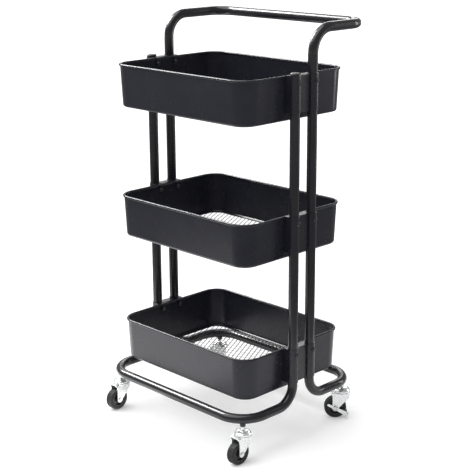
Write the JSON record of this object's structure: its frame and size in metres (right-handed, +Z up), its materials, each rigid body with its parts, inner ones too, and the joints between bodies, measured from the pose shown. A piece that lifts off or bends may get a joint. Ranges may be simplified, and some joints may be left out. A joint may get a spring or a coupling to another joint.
{
  "type": "rolling pantry cart",
  "caption": "Three-tier rolling pantry cart: solid-walled steel baskets with mesh floors on a bent tube frame with a push handle and swivel casters.",
  "frame": {"origin": "on the floor under the middle of the cart, at the bottom centre of its bounding box", "axes": "+X along the baskets' long side, +Y towards the push handle (rear), +Z up"},
  "size_m": [0.4469, 0.3814, 0.864],
  "materials": {
    "basket_coat": "satin black powder coat",
    "mesh_coat": "satin black coated expanded steel mesh",
    "bracket_coat": "satin black powder coat",
    "tube_coat": "semi-gloss black powder coat",
    "screw_black": "black zinc plated",
    "cap_plastic": "moulded black plastic",
    "zinc": "bright zinc plated pressed steel",
    "steel": "bright steel",
    "wheel_plastic": "moulded black nylon",
    "tread": "black rubber tread"
  },
  "bodies": {
    "frame": {"bottom_basket": "basket_coat", "bottom_mesh_floor": "mesh_coat", "bottom_screws": "screw_black", "bottom_dome_nuts": "screw_black", "bottom_left_bracket": "bracket_coat", "bottom_right_bracket": "bracket_coat", "middle_basket": "basket_coat", "middle_mesh_floor": "mesh_coat", "middle_screws": "screw_black", "middle_dome_nuts": "screw_black", "middle_left_bracket": "bracket_coat", "middle_right_bracket": "bracket_coat", "top_basket": "basket_coat", "top_mesh_floor": "mesh_coat", "top_screws": "screw_black", "top_dome_nuts": "screw_black", "top_left_bracket": "bracket_coat", "top_right_bracket": "bracket_coat", "front_base_loop": "tube_coat", "rear_base_loop": "tube_coat", "lower_post_front_left": "tube_coat", "lower_post_rear_left": "tube_coat", "lower_post_front_right": "tube_coat", "lower_post_rear_right": "tube_coat", "upper_post_front_left": "tube_coat", "upper_post_rear_left": "tube_coat", "upper_post_front_right": "tube_coat", "upper_post_rear_right": "tube_coat", "post_cap_left": "cap_plastic", "post_cap_right": "cap_plastic", "handle_tube": "tube_coat", "caster_sockets": "tube_coat", "front_left_stem": "zinc", "front_left_bearing_balls": "steel", "front_right_stem": "zinc", "front_right_bearing_balls": "steel", "rear_left_stem": "zinc", "rear_left_bearing_balls": "steel", "rear_right_stem": "zinc", "rear_right_bearing_balls": "steel"},
    "front_left_swivel": {"front_left_fork": "zinc", "front_left_axle": "steel"},
    "front_left_wheel": {"front_left_wheel_hub": "wheel_plastic", "front_left_tyre": "tread"},
    "front_right_swivel": {"front_right_fork": "zinc", "front_right_axle": "steel"},
    "front_right_wheel": {"front_right_wheel_hub": "wheel_plastic", "front_right_tyre": "tread"},
    "rear_left_swivel": {"rear_left_fork": "zinc", "rear_left_axle": "steel"},
    "rear_left_wheel": {"rear_left_wheel_hub": "wheel_plastic", "rear_left_tyre": "tread"},
    "rear_left_brake": {"rear_left_brake_lever": "zinc"},
    "rear_right_swivel": {"rear_right_fork": "zinc", "rear_right_axle": "steel"},
    "rear_right_wheel": {"rear_right_wheel_hub": "wheel_plastic", "rear_right_tyre": "tread"},
    "rear_right_brake": {"rear_right_brake_lever": "zinc"}
  },
  "joints": [
    {"name": "front_left_swivel_turn", "type": "hinge", "parent": "frame", "child": "front_left_swivel", "pos_m": [-0.19172, -0.15272, 0.06], "axis": [0, 0, 1], "continuous": true},
    {"name": "front_left_wheel_spin", "type": "hinge", "parent": "front_left_swivel", "child": "front_left_wheel", "pos_m": [-0.19172, -0.16672, 0.024], "axis": [1, 0, 0], "continuous": true},
    {"name": "front_right_swivel_turn", "type": "hinge", "parent": "frame", "child": "front_right_swivel", "pos_m": [0.19172, -0.15272, 0.06], "axis": [0, 0, 1], "continuous": true},
    {"name": "front_right_wheel_spin", "type": "hinge", "parent": "front_right_swivel", "child": "front_right_wheel", "pos_m": [0.19172, -0.16672, 0.024], "axis": [1, 0, 0], "continuous": true},
    {"name": "rear_left_swivel_turn", "type": "hinge", "parent": "frame", "child": "rear_left_swivel", "pos_m": [-0.19172, 0.15272, 0.06], "axis": [0, 0, 1], "continuous": true},
    {"name": "rear_left_wheel_spin", "type": "hinge", "parent": "rear_left_swivel", "child": "rear_left_wheel", "pos_m": [-0.20162, 0.14282, 0.024], "axis": [0.7071, -0.7071, 0], "continuous": true},
    {"name": "rear_left_brake_lift", "type": "hinge", "parent": "rear_left_swivel", "child": "rear_left_brake", "pos_m": [-0.20162, 0.14282, 0.024], "axis": [0.7071, -0.7071, 0], "range_deg": [0, 28]},
    {"name": "rear_right_swivel_turn", "type": "hinge", "parent": "frame", "child": "rear_right_swivel", "pos_m": [0.19172, 0.15272, 0.06], "axis": [0, 0, 1], "continuous": true},
    {"name": "rear_right_wheel_spin", "type": "hinge", "parent": "rear_right_swivel", "child": "rear_right_wheel", "pos_m": [0.18182, 0.14282, 0.024], "axis": [0.7071, -0.7071, 0], "continuous": true},
    {"name": "rear_right_brake_lift", "type": "hinge", "parent": "rear_right_swivel", "child": "rear_right_brake", "pos_m": [0.18182, 0.14282, 0.024], "axis": [0.7071, -0.7071, 0], "range_deg": [0, 28]}
  ]
}
